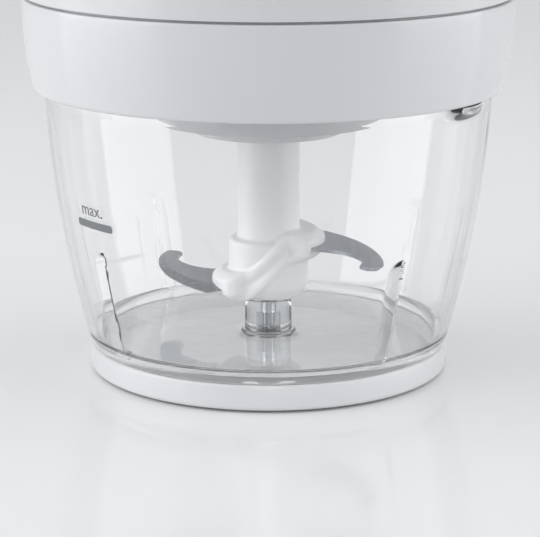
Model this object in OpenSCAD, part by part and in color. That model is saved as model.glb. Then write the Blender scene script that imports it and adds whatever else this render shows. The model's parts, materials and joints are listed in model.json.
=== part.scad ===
// Small countertop food processor: a clear bowl that stands in a base lid, a two-blade
// knife that turns on a steel spindle, and a motor unit with one large push button.
// Z is up, the origin is on the table under the middle, and -Y is the front.

/* [Base] */
// Thickness of the base lid's rim
base_rim_t = 1.7; // [1.2:0.1:3]
// Height of the base lid's rim above the table
base_rim_z = 8.2; // [7:0.1:12]
// Thickness of the base lid's floor
base_floor_t = 2; // [1.5:0.1:3]
// Width of the rubber ring under the base
foot_ring_w = 4; // [3:0.5:8]

/* [Bowl] */
// Outer radius of the bowl where its wall leaves the base
bowl_foot_r = 54.7; // [45:0.5:66]
// Outer radius of the bowl's straight top stretch
bowl_top_r = 67.3; // [57:0.5:84]
// How far the wall bows out from a straight cone
bowl_bulge = 2.1; // [0.5:0.1:3]
// Height of the bowl's rim above the table
bowl_rim_z = 98; // [82:1:120]
// Height of the bowl's floor above the table
bowl_floor_z = 10.6; // [10:0.5:14]
// Thickness of the bowl's wall
bowl_wall = 2; // [1.5:0.1:2.6]
// Thickness of the bowl's floor
bowl_floor_t = 2.4; // [1.5:0.1:2.4]
// How far the four wall ribs stand into the bowl
rib_depth = 1; // [0.6:0.1:3]
// Width of a rib's sloping face
rib_w = 5.5; // [4:0.5:8]
// Height of a rib above the bowl's floor
rib_h = 33.3; // [20:0.5:45]
// Length of the level mark
mark_w = 17.1; // [10:0.1:24]
// Height of the level mark
mark_h = 2.3; // [1.5:0.1:4]
// Height of the level mark's middle above the table
mark_z = 52; // [35:1:70]
// Width of the locating lug under the collar
lug_w = 25; // [12:1:26]
// How far the locating lug stands out from the bowl
lug_out = 3; // [1:0.1:3.4]
// Height of the locating lug
lug_h = 3.8; // [2:0.1:5]

/* [Spindle] */
// Radius of the steel spindle
pin_r = 1.6; // [1.4:0.1:2]
// Radius of the clear boss that holds the spindle
boss_r = 7.1; // [6:0.1:9]
// Height of the clear boss above the bowl's floor
boss_h = 10.4; // [9:0.1:14]
// Radius of the spindle's fluted foot
flute_r = 2.5; // [2.2:0.1:4]

/* [Knife] */
// Radius of the hub's body
hub_r = 12.2; // [11:0.1:14]
// Height of the hub's body
hub_h = 18; // [17:0.1:24]
// Radius of the hub's tube at its top
tube_r = 9.5; // [9:0.1:10.4]
// How far the pods that hold the blades stand out from the hub
pod_out = 5.1; // [3:0.1:6]
// Thickness of a blade
blade_t = 1; // [0.8:0.1:1.4]
// Clear distance between the lower blade's tip and the bowl's wall
blade_gap = 5.6; // [4:0.1:14]
// Size of the upper blade, compared with the lower one
upper_blade_scale = 0.94; // [0.9:0.01:1]
// Height of the lower blade above the hub's underside
lower_blade_up = 3.7; // [3.6:0.1:5]
// Height of the upper blade above the hub's underside
upper_blade_up = 16.4; // [15:0.1:16.8]

/* [Motor unit] */
// How far the collar reaches down over the bowl's rim
collar_overlap = 11.1; // [8:0.1:18]
// How far the collar's lower edge stands out from the bowl
collar_out = 3.6; // [3.4:0.1:8]
// How much wider the collar is at the seam than at its lower edge
collar_flare = 2.6; // [0:0.1:6]
// Height of the seam above the bowl's rim
seam_up = 16.6; // [14:0.1:24]
// Wall thickness of both casings
casing_wall = 2.4; // [2:0.1:3]
// Radius of the disc under the motor unit
disc_r = 34.5; // [33:0.5:40]
// Depth of the disc below the bowl's rim
disc_depth = 21; // [20:0.1:24]
// Radius of the boss under the disc
under_boss_r = 22.5; // [14:0.5:28]
// Height of the boss under the disc
under_boss_h = 3.9; // [2:0.1:6]
// Height of the upper casing above the seam
casing_h = 107.4; // [104:0.5:130]

/* [Button] */
// Radius of the push button
button_r = 43.8; // [30:0.2:46]
// How far the button stands out of the casing
button_up = 18; // [10:0.5:24]
// How far the button travels
button_travel = 4; // [2:0.5:5]

/* [Gears and motor] */
// Tooth size of the gears, as pitch diameter per tooth
gear_module = 1; // [0.9:0.05:1.05]
// Thickness of the gears along the axis
gear_t = 8; // [6:0.5:8]
// Radius of the motor's shaft
shaft_r = 2.5; // [2:0.1:3]
// Radius of the armature
armature_r = 16.4; // [14:0.1:17]
// Height of the stator's stack of plates
stack_h = 28; // [20:1:30]
// Radius of the hole for the cord
cord_r = 3.5; // [3:0.1:4]

/* [Hidden] */
$fn = 72;

// Clearances
gap = 0.3;
run_gap = 0.05;
eps = 0.01;

// Base
seat_z = 0.6 + base_floor_t;
skirt_r = bowl_foot_r - 1.9;
base_in_r = skirt_r + gap;
base_r = base_in_r + base_rim_t;
foot_ring_r = base_r - 5;

// Bowl: its wall bows along one arc between the foot and the collar
foot_z = base_rim_z + 0.9;
straight_z = bowl_rim_z - collar_overlap - 2.2;
collar_z = bowl_rim_z - collar_overlap;
// Radius at height z of a wall that runs from a to b and bows out by sag
function wall_r(a, b, sag, z) =
    let (chord = norm(b - a), r = (chord * chord / 4 + sag * sag) / (2 * sag))
    let (centre = (a + b) / 2 + [b[1] - a[1], a[0] - b[0]] / chord * (sag - r))
    centre[0] + sqrt(r * r - pow(z - centre[1], 2));
bowl_foot = [bowl_foot_r, foot_z];
bowl_shoulder = [bowl_top_r, straight_z];
function bowl_r(z) = z >= straight_z ? bowl_top_r
    : wall_r(bowl_foot, bowl_shoulder, bowl_bulge, z);
function inner_r(z) = bowl_r(z) - bowl_wall;
skirt_t = 2;
floor_fillet = 2.6;
rib_first = -51;
mark_turn = -141.8;
lug_turn = -32;

// Spindle and knife
boss_top = bowl_floor_z + boss_h;
hub_z = boss_top + 1.2;
hub_top = hub_z + hub_h;
lower_blade_z = hub_z + lower_blade_up;
upper_blade_z = hub_z + upper_blade_up;
bush_r = pin_r + 1.6;
bush_top = hub_z + 26;
pin_top = hub_z + 34;
hex_r = 5;
blade_reach = inner_r(lower_blade_z) - blade_gap;
lower_blade_k = blade_reach / 48.7;
upper_blade_k = lower_blade_k * upper_blade_scale;

// Motor unit, from the bowl's rim up
gasket_t = 1.4;
deck_z = bowl_rim_z + 0.1 + gasket_t;
deck_t = 2.2;
deck_top = deck_z + deck_t;
lip_r = bowl_top_r + 0.5;
collar_r = bowl_top_r + collar_out;
seam_z = bowl_rim_z + seam_up;
seam_gap = 0.8;
seam_r = collar_r + collar_flare;
tongue_r = seam_r - casing_wall - 0.2;
disc_z = bowl_rim_z - disc_depth;
under_boss_z = disc_z - under_boss_h;
cover_t = 2.2;
cover_in_z = disc_z + cover_t;
cover_top_r = disc_r + 13;
hub_hole_r = tube_r + 1;
tube_top = under_boss_z + 3;
seal_t = 1.8;
hex_z = tube_top - 13;

// Gear train: the ring is held, the sun drives, and the carrier turns five times slower
sun_teeth = 12;
planet_teeth = 18;
ring_teeth = sun_teeth + 2 * planet_teeth;
gear_axis_r = (sun_teeth + planet_teeth) * gear_module / 2;
ring_out_r = (ring_teeth + 6) * gear_module / 2;
housing_r = ring_out_r + 2.5;
housing_floor_t = 2.5;
bearing_top = cover_in_z + 7.7;
carrier_z = bearing_top + gap;
carrier_t = 3;
gear_z = carrier_z + carrier_t + 0.5;
gear_top = gear_z + gear_t;
gear_cover_t = 2.4;
gear_cover_z = gear_top + 0.8;
housing_flange_t = 1.8;
housing_top = max(deck_top + housing_flange_t, gear_cover_z + gear_cover_t + gap);
housing_flange_r = housing_r + 6.5;

// Motor
bracket_r = 35.5;
mount_r = max(bracket_r, housing_flange_r) + 6.5;
mount_h = housing_top - deck_top + 4.3;
bracket_z = deck_top + mount_h;
bracket_t = 2.5;
fan_z = bracket_z + bracket_t + 2;
fan_h = 6;
stack_z = fan_z + fan_h + 6.5;
stack_top = stack_z + stack_h;
winding_h = 4.5;
stator_in_r = armature_r + 0.8;
shoe_r = stator_in_r + 3.3;
pole_half = 11;
yoke_in_x = 25;
yoke_in_y = shoe_r + 1.5;
yoke_t = 7;
leg_y = yoke_in_y + 2.5;
commutator_z = stack_top + winding_h + 3.5;
commutator_h = 10;
commutator_r = 9.5;
upper_bracket_z = commutator_z + commutator_h + 0.6;
upper_bracket_t = 3;
bearing_r = shaft_r + 4;
stator_screw_at = [28.5, 14];

// Upper casing and what it carries
casing_top = seam_z + casing_h;
bezel_r = button_r + 0.4;
bezel_in = bezel_r + 2.7;
shoulder_z = casing_top - 13;
shoulder_in = bezel_in + 3;
shoulder_r = max(seam_r - 15.5, bezel_in + 6);
casing_foot = [seam_r, seam_z + seam_gap / 2];
casing_shoulder = [shoulder_r, shoulder_z];
casing_bulge = 4;
// The cap carries on from the side without a kink
side_run = casing_shoulder - casing_foot;
cap_run = [shoulder_in, casing_top] - casing_shoulder;
side_lean = atan(-side_run[0] / side_run[1]) + 2 * atan(2 * casing_bulge / norm(side_run));
cap_bulge = norm(cap_run) / 2 * tan(max(2, atan(-cap_run[0] / cap_run[1]) - side_lean) / 2);
post_at = seam_r - 18.3;
post_r = 4;
plate_z = casing_top - 36;
plate_t = 2.2;
plate_top = plate_z + plate_t;
ledge_r = button_r + 3.2;
plate_r = ledge_r + 5.5;
button_top = casing_top + button_up;
button_foot = casing_top - 8;
flange_t = 2;
flange_r = bezel_r + 1.8;
button_edge_z = button_top - 8;
switch_top = plate_top + 15;
plunger_top = switch_top + button_travel + 0.8;
spring_r = 14;
wire_r = 0.8;
spring_top = button_foot;
gland_z = plate_z - 6;
gland_r = cord_r + 2.5;
gland_y = wall_r(casing_foot, casing_shoulder, casing_bulge, gland_z);

// Shapes that repeat

// Points on the arc from a to b that bows out to the right by sag
function arc(a, b, sag, steps) =
    let (chord = norm(b - a))
    let (along = (b - a) / chord)
    let (side = [along[1], -along[0]] * sign(sag))
    let (r = (chord * chord / 4 + sag * sag) / (2 * abs(sag)))
    let (centre = (a + b) / 2 + side * (abs(sag) - r))
    let (half = asin(min(1, chord / 2 / r)))
    [for (i = [0:steps]) let (t = half * (2 * i / steps - 1))
        centre + r * (side * cos(t) + along * sin(t))];

function backwards(points) = [for (i = [len(points) - 1:-1:0]) points[i]];

function polar(r, turn) = [r * cos(turn), r * sin(turn)];

module ring(out_r, in_r, z, h) {
    translate([0, 0, z])
    difference() {
        cylinder(r = out_r, h = h);
        translate([0, 0, -1]) cylinder(r = in_r, h = h + 2);
    }
}

module rod(r, z, h) {
    translate([0, 0, z]) cylinder(r = r, h = h);
}

module block(low, high) {
    translate(low) cube(high - low);
}

module spun(points) {
    rotate_extrude() polygon(points);
}

module around(count, first = 0) {
    for (i = [0:count - 1]) rotate([0, 0, first + i * 360 / count]) children();
}

// A skin through rings of points, closed with caps, or joined end to end
module skin(rings, joined = false) {
    n = len(rings[0]);
    last = len(rings) - 1;
    sides = [for (i = [0:joined ? last : last - 1], j = [0:n - 1])
        let (k = (i + 1) % (last + 1), m = (j + 1) % n)
        [i * n + j, k * n + j, k * n + m, i * n + m]];
    caps = joined ? [] : [[for (j = [0:n - 1]) j], [for (j = [n - 1:-1:0]) last * n + j]];
    polyhedron([for (r = rings) each r], concat(sides, caps));
}

// A screw that points up from under its head, or down with the head on top
module screw(z, length, r = 1.6, head_r = 3, head_h = 2) {
    translate([0, 0, z]) {
        cylinder(r = r, h = length);
        difference() {
            translate([0, 0, -head_h]) cylinder(r = head_r, h = head_h);
            translate([-head_r, -0.3, -head_h - eps]) cube([2 * head_r, 0.6, 0.8]);
        }
    }
}

// Base lid: the dish that the bowl stands in
module base_lid() {
    color("white")
    difference() {
        spun(concat(
            [[0, 0.6], [base_r - 1.6, 0.6]],
            arc([base_r - 1.6, 0.6], [base_r - 0.3, 2.2], 0.4, 4),
            [[base_r, base_rim_z - 1]],
            arc([base_r, base_rim_z - 1], [base_in_r + 0.5, base_rim_z], 0.35, 4),
            [[base_in_r, base_rim_z - 0.5], [base_in_r, seat_z], [0, seat_z]]));
        ring(foot_ring_r, foot_ring_r - foot_ring_w, 0, 1.6);
    }
}

module non_slip_ring() {
    color("gainsboro")
    ring(foot_ring_r, foot_ring_r - foot_ring_w, 0, 1.6);
}

// Bowl
module bowl_shell() {
    floor_under = bowl_floor_z - bowl_floor_t;
    fillet_z = bowl_floor_z + floor_fillet;
    outer = arc(bowl_foot, bowl_shoulder, bowl_bulge, 14);
    inner = [for (p = outer) if (p[1] > fillet_z + 1) p - [bowl_wall, 0]];
    spun(concat(
        [[skirt_r - skirt_t, seat_z], [skirt_r, seat_z], [skirt_r, foot_z - 1.1]],
        outer,
        [[bowl_top_r, bowl_rim_z], [bowl_top_r - bowl_wall, bowl_rim_z]],
        backwards(inner),
        backwards(arc([inner_r(bowl_floor_z) - floor_fillet, bowl_floor_z],
            [inner_r(fillet_z), fillet_z], floor_fillet * 0.25, 4)),
        [[0, bowl_floor_z], [0, floor_under], [skirt_r - skirt_t, floor_under]]));
}

// One saw-tooth rib: a steep face and a long sloping face that runs into the wall
module wall_rib() {
    low = bowl_floor_z - 0.8;
    high = bowl_floor_z + rib_h;
    skin([for (i = [0:4])
        let (z = low + (high - low) * i / 4)
        let (wall = inner_r(max(z, bowl_floor_z)))
        let (slope = rib_w / wall * 180 / PI)
        [concat(polar(wall + 0.9, 0), z), concat(polar(wall - rib_depth, 0), z),
            concat(polar(wall + 0.9, -slope), z)]]);
}

// The lug is the lowest slice of a ball, so that it tapers to both ends
module locating_lug() {
    top = collar_z - 0.5;
    mid = lug_w / 2;
    drop = (mid * mid + lug_h * lug_h) / (2 * lug_h) - lug_h;
    swell = lug_out + mid * mid / (2 * bowl_top_r);
    cut_r = (mid * mid + swell * swell) / (2 * swell);
    ball_r = norm([cut_r, drop]);
    rotate([0, 0, lug_turn])
    intersection() {
        translate([bowl_top_r + lug_out - cut_r, 0, top + drop]) sphere(r = ball_r);
        rotate([0, 0, -20])
        rotate_extrude(angle = 40)
        polygon([[bowl_r(top - 8) - 1, top - 8], [bowl_top_r + 8, top - 8],
            [bowl_top_r + 8, top], [bowl_top_r - 1, top]]);
    }
}

module bowl() {
    color("lightcyan", 0.4)
    difference() {
        union() {
            bowl_shell();
            rod(boss_r + 1.1, bowl_floor_z - 0.5, 1.3);
            rod(boss_r, bowl_floor_z - 0.5, boss_h + 0.5);
            around(4, rib_first) wall_rib();
            locating_lug();
        }
        spindle_shape();
    }
}

// Spindle: a fluted foot moulded into the boss, and a smooth pin that the knife turns on
flute_top = bowl_floor_z + 6.1;
module spindle_shape() {
    flutes = 16;
    foot = bowl_floor_z - 1;
    translate([0, 0, foot])
    linear_extrude(flute_top - foot)
    polygon([for (i = [0:2 * flutes - 1]) polar(flute_r - (i % 2) * 0.45, i * 180 / flutes)]);
    rod(pin_r, flute_top - 1, boss_top - flute_top + 1.2);
}

module spindle_pin() {
    color("silver") {
        spindle_shape();
        rod(pin_r, boss_top, pin_top - boss_top - 0.5);
        translate([0, 0, pin_top - 0.5]) cylinder(r1 = pin_r, r2 = pin_r - 0.5, h = 0.5);
    }
}

module level_mark() {
    turn = mark_w / bowl_r(mark_z) * 180 / PI;
    low = mark_z - mark_h / 2;
    high = mark_z + mark_h / 2;
    color("gray")
    rotate([0, 0, mark_turn - turn / 2])
    rotate_extrude(angle = turn)
    polygon([[bowl_r(low), low], [bowl_r(low) + 0.12, low],
        [bowl_r(high) + 0.12, high], [bowl_r(high), high]]);
}

// Knife
// Outline of a blade that sweeps back from its root to a squared tip
blade_back = [17.6, 12.2];
blade_nose = [33.4, -34.3];
blade_tip = [26.5, -34.2];
blade_front = [15.2, -12.9];
blade_root_x = 7;
module blade_outline(k) {
    points = concat(
        arc(blade_front, blade_tip, -5.5, 12),
        arc(blade_tip, blade_nose, 2.9, 6),
        arc(blade_nose, blade_back, 5.1, 14));
    root = [[blade_root_x, blade_back[1] - 8], [blade_root_x, blade_front[1] + 3]];
    polygon(concat([for (p = points) p * k], root));
}

module blade(z, k) {
    translate([0, 0, z - blade_t / 2]) linear_extrude(blade_t) blade_outline(k);
}

module upper_blade() {
    color("slategray") blade(upper_blade_z, upper_blade_k);
}

module lower_blade() {
    color("slategray") rotate([0, 0, 180]) blade(lower_blade_z, lower_blade_k);
}

// The fairing winds round the hub from the low pod to the high one, and each pod is a broad lobe
function lobe(c) =
    let (w = max(0, min(1, (abs(c) - 0.45) / 0.3)))
    w * w * (3 - 2 * w);

function fairing_at(turn) =
    let (c = cos(turn), mid = (lower_blade_z + upper_blade_z) / 2 + 0.3)
    let (rise = sin(90 * max(-1, min(1, c / 0.75))))
    let (half = 4 + sin(turn) * sin(turn))
    let (z = mid + rise * ((upper_blade_z - lower_blade_z) / 2 - 0.15))
    let (r = hub_r + 0.9 + (pod_out - 0.9) * lobe(c))
    let (brow = (hub_r + r) / 2 - 0.5)
    [for (p = [[hub_r - 3, half], [brow, half], [r, half - 2.2],
        [r, 2.2 - half], [brow, -half], [hub_r - 3, -half]])
        concat(polar(p[0], turn), z + p[1])];

module knife_hub() {
    color("white")
    difference() {
        union() {
            spun([[0, hub_z], [hub_r - 2.6, hub_z], [hub_r - 0.8, hub_z + 0.8],
                [hub_r, hub_z + 2.6], [hub_r, hub_top - 0.8], [hub_r - 0.8, hub_top],
                [tube_r - 0.1, hub_top], [tube_r, tube_top - 0.5],
                [tube_r - 0.5, tube_top], [0, tube_top]]);
            skin([for (i = [0:47]) fairing_at(i * 7.5)], joined = true);
        }
        rod(bush_r, hub_z - 1, bush_top - hub_z + 1);
        rod(pin_r + 0.8, hub_z, pin_top + 1.5 - hub_z);
        translate([0, 0, hex_z - 1]) cylinder(r = hex_r + 0.18, h = tube_top, $fn = 6);
        upper_blade();
        lower_blade();
    }
}

module hub_bush() {
    color("goldenrod")
    ring(bush_r, pin_r + run_gap, hub_z - 0.9, bush_top - hub_z + 0.9);
}

// Motor unit
module lower_casing() {
    wall = casing_wall - 0.2;
    outer = arc([collar_r, collar_z + 1.5], [seam_r, seam_z - 0.8], 0.75, 10);
    inner = [for (p = outer) if (p[1] < deck_z - 1) p - [wall, 0]];
    above = [for (p = outer) if (p[1] > deck_top + 1) p - [wall, 0]];
    color("white")
    difference() {
        union() {
            spun(concat(
                [[lip_r, collar_z + 0.4], [lip_r + 0.4, collar_z]],
                arc([collar_r - 1.5, collar_z], [collar_r, collar_z + 1.5], 0.4, 5),
                outer,
                [[seam_r - 0.4, seam_z - seam_gap / 2], [tongue_r, seam_z - seam_gap / 2],
                    [tongue_r, seam_z + 3.5], [tongue_r - 1.3, seam_z + 3.5]],
                backwards(above),
                [[seam_r - wall - 0.8, deck_top], [housing_r + 0.3, deck_top],
                    [housing_r + 0.3, deck_z], [inner[len(inner) - 1][0], deck_z]],
                backwards(inner),
                [[collar_r - wall, collar_z + 2.2], [lip_r, collar_z + 1.6]]));
        }
        around(4, 45) translate([post_at, 0, 0]) rod(1.8, deck_z - 1, deck_t + 2);
        around(3, 90) translate([mount_r, 0, 0]) rod(1.6, deck_z - 1, deck_t + 2);
    }
}

module underside_cover() {
    color("white")
    spun([[hub_hole_r, under_boss_z + 0.5], [hub_hole_r + 0.5, under_boss_z],
        [under_boss_r - 1, under_boss_z], [under_boss_r, under_boss_z + 1],
        [under_boss_r, disc_z], [disc_r - 1.2, disc_z], [disc_r, disc_z + 1.2],
        [cover_top_r, deck_z - 2], [cover_top_r + 4, deck_z - 2], [cover_top_r + 4, deck_z],
        [cover_top_r - cover_t, deck_z], [disc_r - cover_t, disc_z + cover_t + 1],
        [disc_r - cover_t - 1, cover_in_z], [hub_hole_r, cover_in_z]]);
}

module bowl_gasket() {
    color("silver")
    ring(bowl_top_r + 0.3, bowl_top_r - bowl_wall - 1.5, deck_z - gasket_t, gasket_t);
}

module shaft_seal() {
    color("dimgray")
    ring(hub_hole_r, hex_r + 0.1, cover_in_z - seal_t, seal_t);
}

// Gearbox
module gear_housing() {
    color("whitesmoke")
    spun([[8, cover_in_z], [housing_r, cover_in_z], [housing_r, deck_top],
        [housing_flange_r, deck_top], [housing_flange_r, deck_top + housing_flange_t],
        [housing_r + eps, housing_top], [ring_out_r, housing_top],
        [ring_out_r, cover_in_z + housing_floor_t], [10.5, cover_in_z + housing_floor_t],
        [10.5, bearing_top], [8, bearing_top]]);
}

module coupling_bearing() {
    color("goldenrod")
    ring(8, hex_r + run_gap, cover_in_z, bearing_top - cover_in_z);
}

// Teeth with straight flanks, thinned a little for backlash
tooth_half = PI * gear_module / 4 - 0.19;
tooth_up = 0.8 * gear_module;
tooth_down = 1.15 * gear_module;
function gear_points(teeth) =
    let (r = teeth * gear_module / 2)
    [for (i = [0:teeth - 1], side = [[-1, -tooth_down], [-1, tooth_up], [1, tooth_up],
        [1, -tooth_down]])
        let (half = tooth_half - side[1] * tan(20))
        let (turn = i * 360 / teeth + side[0] * half / r * 180 / PI)
        polar(r + side[1], turn)];

module ring_gear() {
    color("ivory")
    difference() {
        rod(ring_out_r, gear_z, gear_t);
        difference() {
            rod((ring_teeth / 2 + 1.2) * gear_module, gear_z - 1, gear_t + 2);
            linear_tooth_row();
        }
    }
}

// The ring's teeth point inwards
module linear_tooth_row() {
    r = ring_teeth * gear_module / 2;
    around(ring_teeth)
    translate([0, 0, gear_z - 2])
    linear_extrude(gear_t + 4)
    polygon([[r - tooth_up, tooth_half - tooth_up * tan(20)],
        [r + tooth_down + 1, tooth_half + tooth_down * tan(20)],
        [r + tooth_down + 1, -tooth_half - tooth_down * tan(20)],
        [r - tooth_up, -tooth_half + tooth_up * tan(20)]]);
}

module gearbox_cover() {
    color("whitesmoke")
    ring(ring_out_r, shaft_r + 0.7, gear_cover_z, gear_cover_t);
}

carrier_r = gear_axis_r + 5;
coupling_shank_r = 3.5;
planet_pin_r = 2;

module planet_carrier() {
    color("gainsboro")
    difference() {
        rod(carrier_r, carrier_z, carrier_t);
        rod(coupling_shank_r, carrier_z - 1, carrier_t + 2);
        around(3) translate([gear_axis_r, 0, 0]) rod(planet_pin_r, carrier_z + 1, carrier_t);
    }
}

module planet_pins() {
    color("silver")
    around(3) translate([gear_axis_r, 0, 0]) rod(planet_pin_r, carrier_z + 1, gear_top - carrier_z - 0.8);
}

module output_coupling() {
    color("silver") {
        translate([0, 0, hex_z]) cylinder(r = hex_r, h = tube_top + gap - hex_z, $fn = 6);
        rod(hex_r, tube_top + gap, carrier_z - tube_top - gap);
        rod(coupling_shank_r, carrier_z - eps, carrier_t + eps);
    }
}

module planet_gear(turn) {
    color("ivory")
    rotate([0, 0, turn])
    translate([gear_axis_r, 0, gear_z])
    rotate([0, 0, 180 / planet_teeth])
    difference() {
        linear_extrude(gear_t) polygon(gear_points(planet_teeth));
        rod(planet_pin_r + run_gap, -1, gear_t + 2);
    }
}

module planet_gear_1() {
    planet_gear(0);
}

module planet_gear_2() {
    planet_gear(120);
}

module planet_gear_3() {
    planet_gear(240);
}

module sun_pinion() {
    color("silver")
    translate([0, 0, gear_z])
    difference() {
        linear_extrude(gear_t) polygon(gear_points(sun_teeth));
        rod(shaft_r, -1, gear_t + 2);
    }
}

// Motor: rotor
module motor_shaft() {
    color("silver") rod(shaft_r, gear_z, upper_bracket_z + 7 - gear_z);
}

module armature_core() {
    slots = 12;
    color("dimgray")
    translate([0, 0, stack_z])
    linear_extrude(stack_h)
    difference() {
        circle(r = armature_r);
        circle(r = shaft_r);
        around(slots) translate([armature_r - 5, -1.1]) square([5.5, 2.2]);
    }
}

module armature_windings() {
    rim = armature_r - 1.6;
    color("peru")
    for (z = [stack_z - winding_h, stack_top])
        translate([0, 0, z])
        spun(concat([[shaft_r, 0.6]],
            arc([shaft_r + 2, 0.3], [rim - 1, 0.6], 0.2, 3),
            arc([rim, 1.2], [rim, winding_h - 1.2], 0.4, 3),
            arc([rim - 1, winding_h - 0.6], [shaft_r + 2, winding_h - 0.3], 0.2, 3),
            [[shaft_r, winding_h - 0.6]]));
}

module commutator() {
    bars = 24;
    color("peru")
    translate([0, 0, commutator_z])
    linear_extrude(commutator_h)
    difference() {
        circle(r = commutator_r);
        circle(r = shaft_r);
        around(bars) translate([commutator_r - 0.9, -0.2]) square([2, 0.4]);
    }
}

module cooling_fan() {
    blades = 11;
    fan_r = leg_y - 1.5;
    color("whitesmoke")
    difference() {
        union() {
            rod(fan_r, fan_z + fan_h - 1.2, 1.2);
            rod(shaft_r + 3, fan_z, fan_h);
            around(blades)
            translate([shaft_r + 2, 0, fan_z])
            rotate([0, 0, 24]) cube([fan_r - shaft_r - 3.4, 1.1, fan_h - 0.5]);
        }
        rod(shaft_r, fan_z - 1, fan_h + 2);
    }
}

// Motor: what stands still
module bearing_hub(z, h) {
    ring(bearing_r + 2.5, bearing_r, z, h);
}

module bracket_legs(z, h) {
    for (side = [-1, 1])
        translate([-8, side * (leg_y + 2) - 2, z]) cube([16, 4, h]);
}

module stator_screw_holes(z, h) {
    for (turn = [0, 180]) rotate([0, 0, turn]) translate(stator_screw_at) rod(1.5, z, h);
}

module lower_bracket() {
    color("lightsteelblue") {
        difference() {
            union() {
                rod(bracket_r, bracket_z, bracket_t);
                around(3, 90) {
                    translate([0, -5, bracket_z]) cube([mount_r, 10, bracket_t]);
                    translate([mount_r, 0, 0]) rod(5, bracket_z, bracket_t);
                }
            }
            rod(bearing_r, bracket_z - 1, bracket_t + 2);
            around(3, 90) translate([mount_r, 0, 0]) rod(1.7, bracket_z - 1, bracket_t + 2);
            stator_screw_holes(bracket_z - 1, bracket_t + 2);
            around(6, 15) translate([bracket_r - 13, 0, 0]) rod(4.5, bracket_z - 1, bracket_t + 2);
        }
        bearing_hub(bracket_z - 2.6, 2.6 + bracket_t);
        bracket_legs(bracket_z + bracket_t, stack_z - bracket_z - bracket_t);
    }
}

module lower_bearing() {
    color("goldenrod")
    ring(bearing_r, shaft_r + run_gap, bracket_z - 2.6, bracket_t + 2.6);
}

module motor_mounts() {
    color("dimgray")
    around(3, 90) translate([mount_r, 0, 0]) ring(4.5, 1.7, deck_top, mount_h);
}

module motor_screws() {
    reach = mount_h + bracket_t + deck_t;
    color("silver")
    around(3, 90)
    translate([mount_r, 0, bracket_z + bracket_t])
    rotate([180, 0, 0]) screw(0, reach);
}

module stator_core() {
    half_x = yoke_in_x + yoke_t;
    half_y = yoke_in_y + yoke_t;
    color("slategray")
    translate([0, 0, stack_z])
    linear_extrude(stack_h)
    difference() {
        union() {
            difference() {
                intersection() {
                    square([2 * half_x, 2 * half_y], center = true);
                    circle(r = norm([half_x, half_y]) - 5);
                }
                square([2 * yoke_in_x, 2 * yoke_in_y], center = true);
            }
            square([2 * pole_half, 2 * yoke_in_y + 1], center = true);
            intersection() {
                circle(r = shoe_r);
                polygon([[0, 0], [30, 40], [-30, 40], [0, 0], [-30, -40], [30, -40]]);
            }
        }
        circle(r = stator_in_r);
        for (turn = [0, 180]) rotate(turn) translate(stator_screw_at) circle(r = 1.5);
    }
}

module field_coils() {
    depth = 4.4;
    out_x = 20;
    color("peru")
    for (side = [-1, 1])
        translate([0, side * (shoe_r - 0.6), stack_z + stack_h / 2])
        rotate([90, 0, 0])
        difference() {
            coil_bar(out_x, stack_h / 2 + winding_h, 2.0 * 1.6);
            coil_bar(pole_half + 0.2, stack_h / 2 + 0.2, 4);
        }
}

module coil_bar(half_x, half_z, t) {
    translate([-half_x, -half_z, -t / 2]) cube([2 * half_x, 2 * half_z, t]);
}

module stator_screws() {
    color("silver")
    for (turn = [0, 180])
        rotate([0, 0, turn]) translate(stator_screw_at)
        screw(bracket_z, upper_bracket_z + upper_bracket_t - bracket_z, r = 1.5, head_r = 2.6);
}

module upper_bracket() {
    color("lightsteelblue") {
        difference() {
            rod(bracket_r, upper_bracket_z, upper_bracket_t);
            rod(bearing_r, upper_bracket_z - 1, upper_bracket_t + 2);
            stator_screw_holes(upper_bracket_z - 1, upper_bracket_t + 2);
            around(4, 45) translate([bracket_r - 14, 0, 0])
                rod(5, upper_bracket_z - 1, upper_bracket_t + 2);
        }
        bearing_hub(upper_bracket_z, 6.4);
        bracket_legs(stack_top, upper_bracket_z - stack_top);
    }
}

module upper_bearing() {
    color("goldenrod") ring(bearing_r, shaft_r + run_gap, upper_bracket_z, 6.4);
}

brush_z = upper_bracket_z - 5.6;
module brush_holders() {
    color("darkgoldenrod")
    around(2)
    difference() {
        block([commutator_r + 2, -4.5, upper_bracket_z - 11.1], [31, 4.5, upper_bracket_z]);
        block([commutator_r, -3, brush_z - 4], [30, 3, brush_z + 4]);
    }
}

module carbon_brushes() {
    color("black")
    around(2) block([commutator_r + 0.15, -3, brush_z - 4], [24, 3, brush_z + 4]);
}

module brush_springs() {
    color("silver")
    around(2) translate([24, 0, brush_z]) rotate([0, 90, 0]) ring(2.6, 1.8, 0, 6);
}

// Upper casing
module casing_solid(wall) {
    side = arc(casing_foot, casing_shoulder, casing_bulge, 16);
    cap = arc(casing_shoulder, [shoulder_in, casing_top], cap_bulge, 8);
    spun(concat([[0, casing_foot[1]]],
        [for (p = side) p - [wall, 0]],
        [for (p = cap) if (p[1] > shoulder_z + 1) p - [wall * 0.6, wall * 0.8]],
        [[shoulder_in - wall * 0.6, casing_top - wall], [0, casing_top - wall]]));
}

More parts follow.
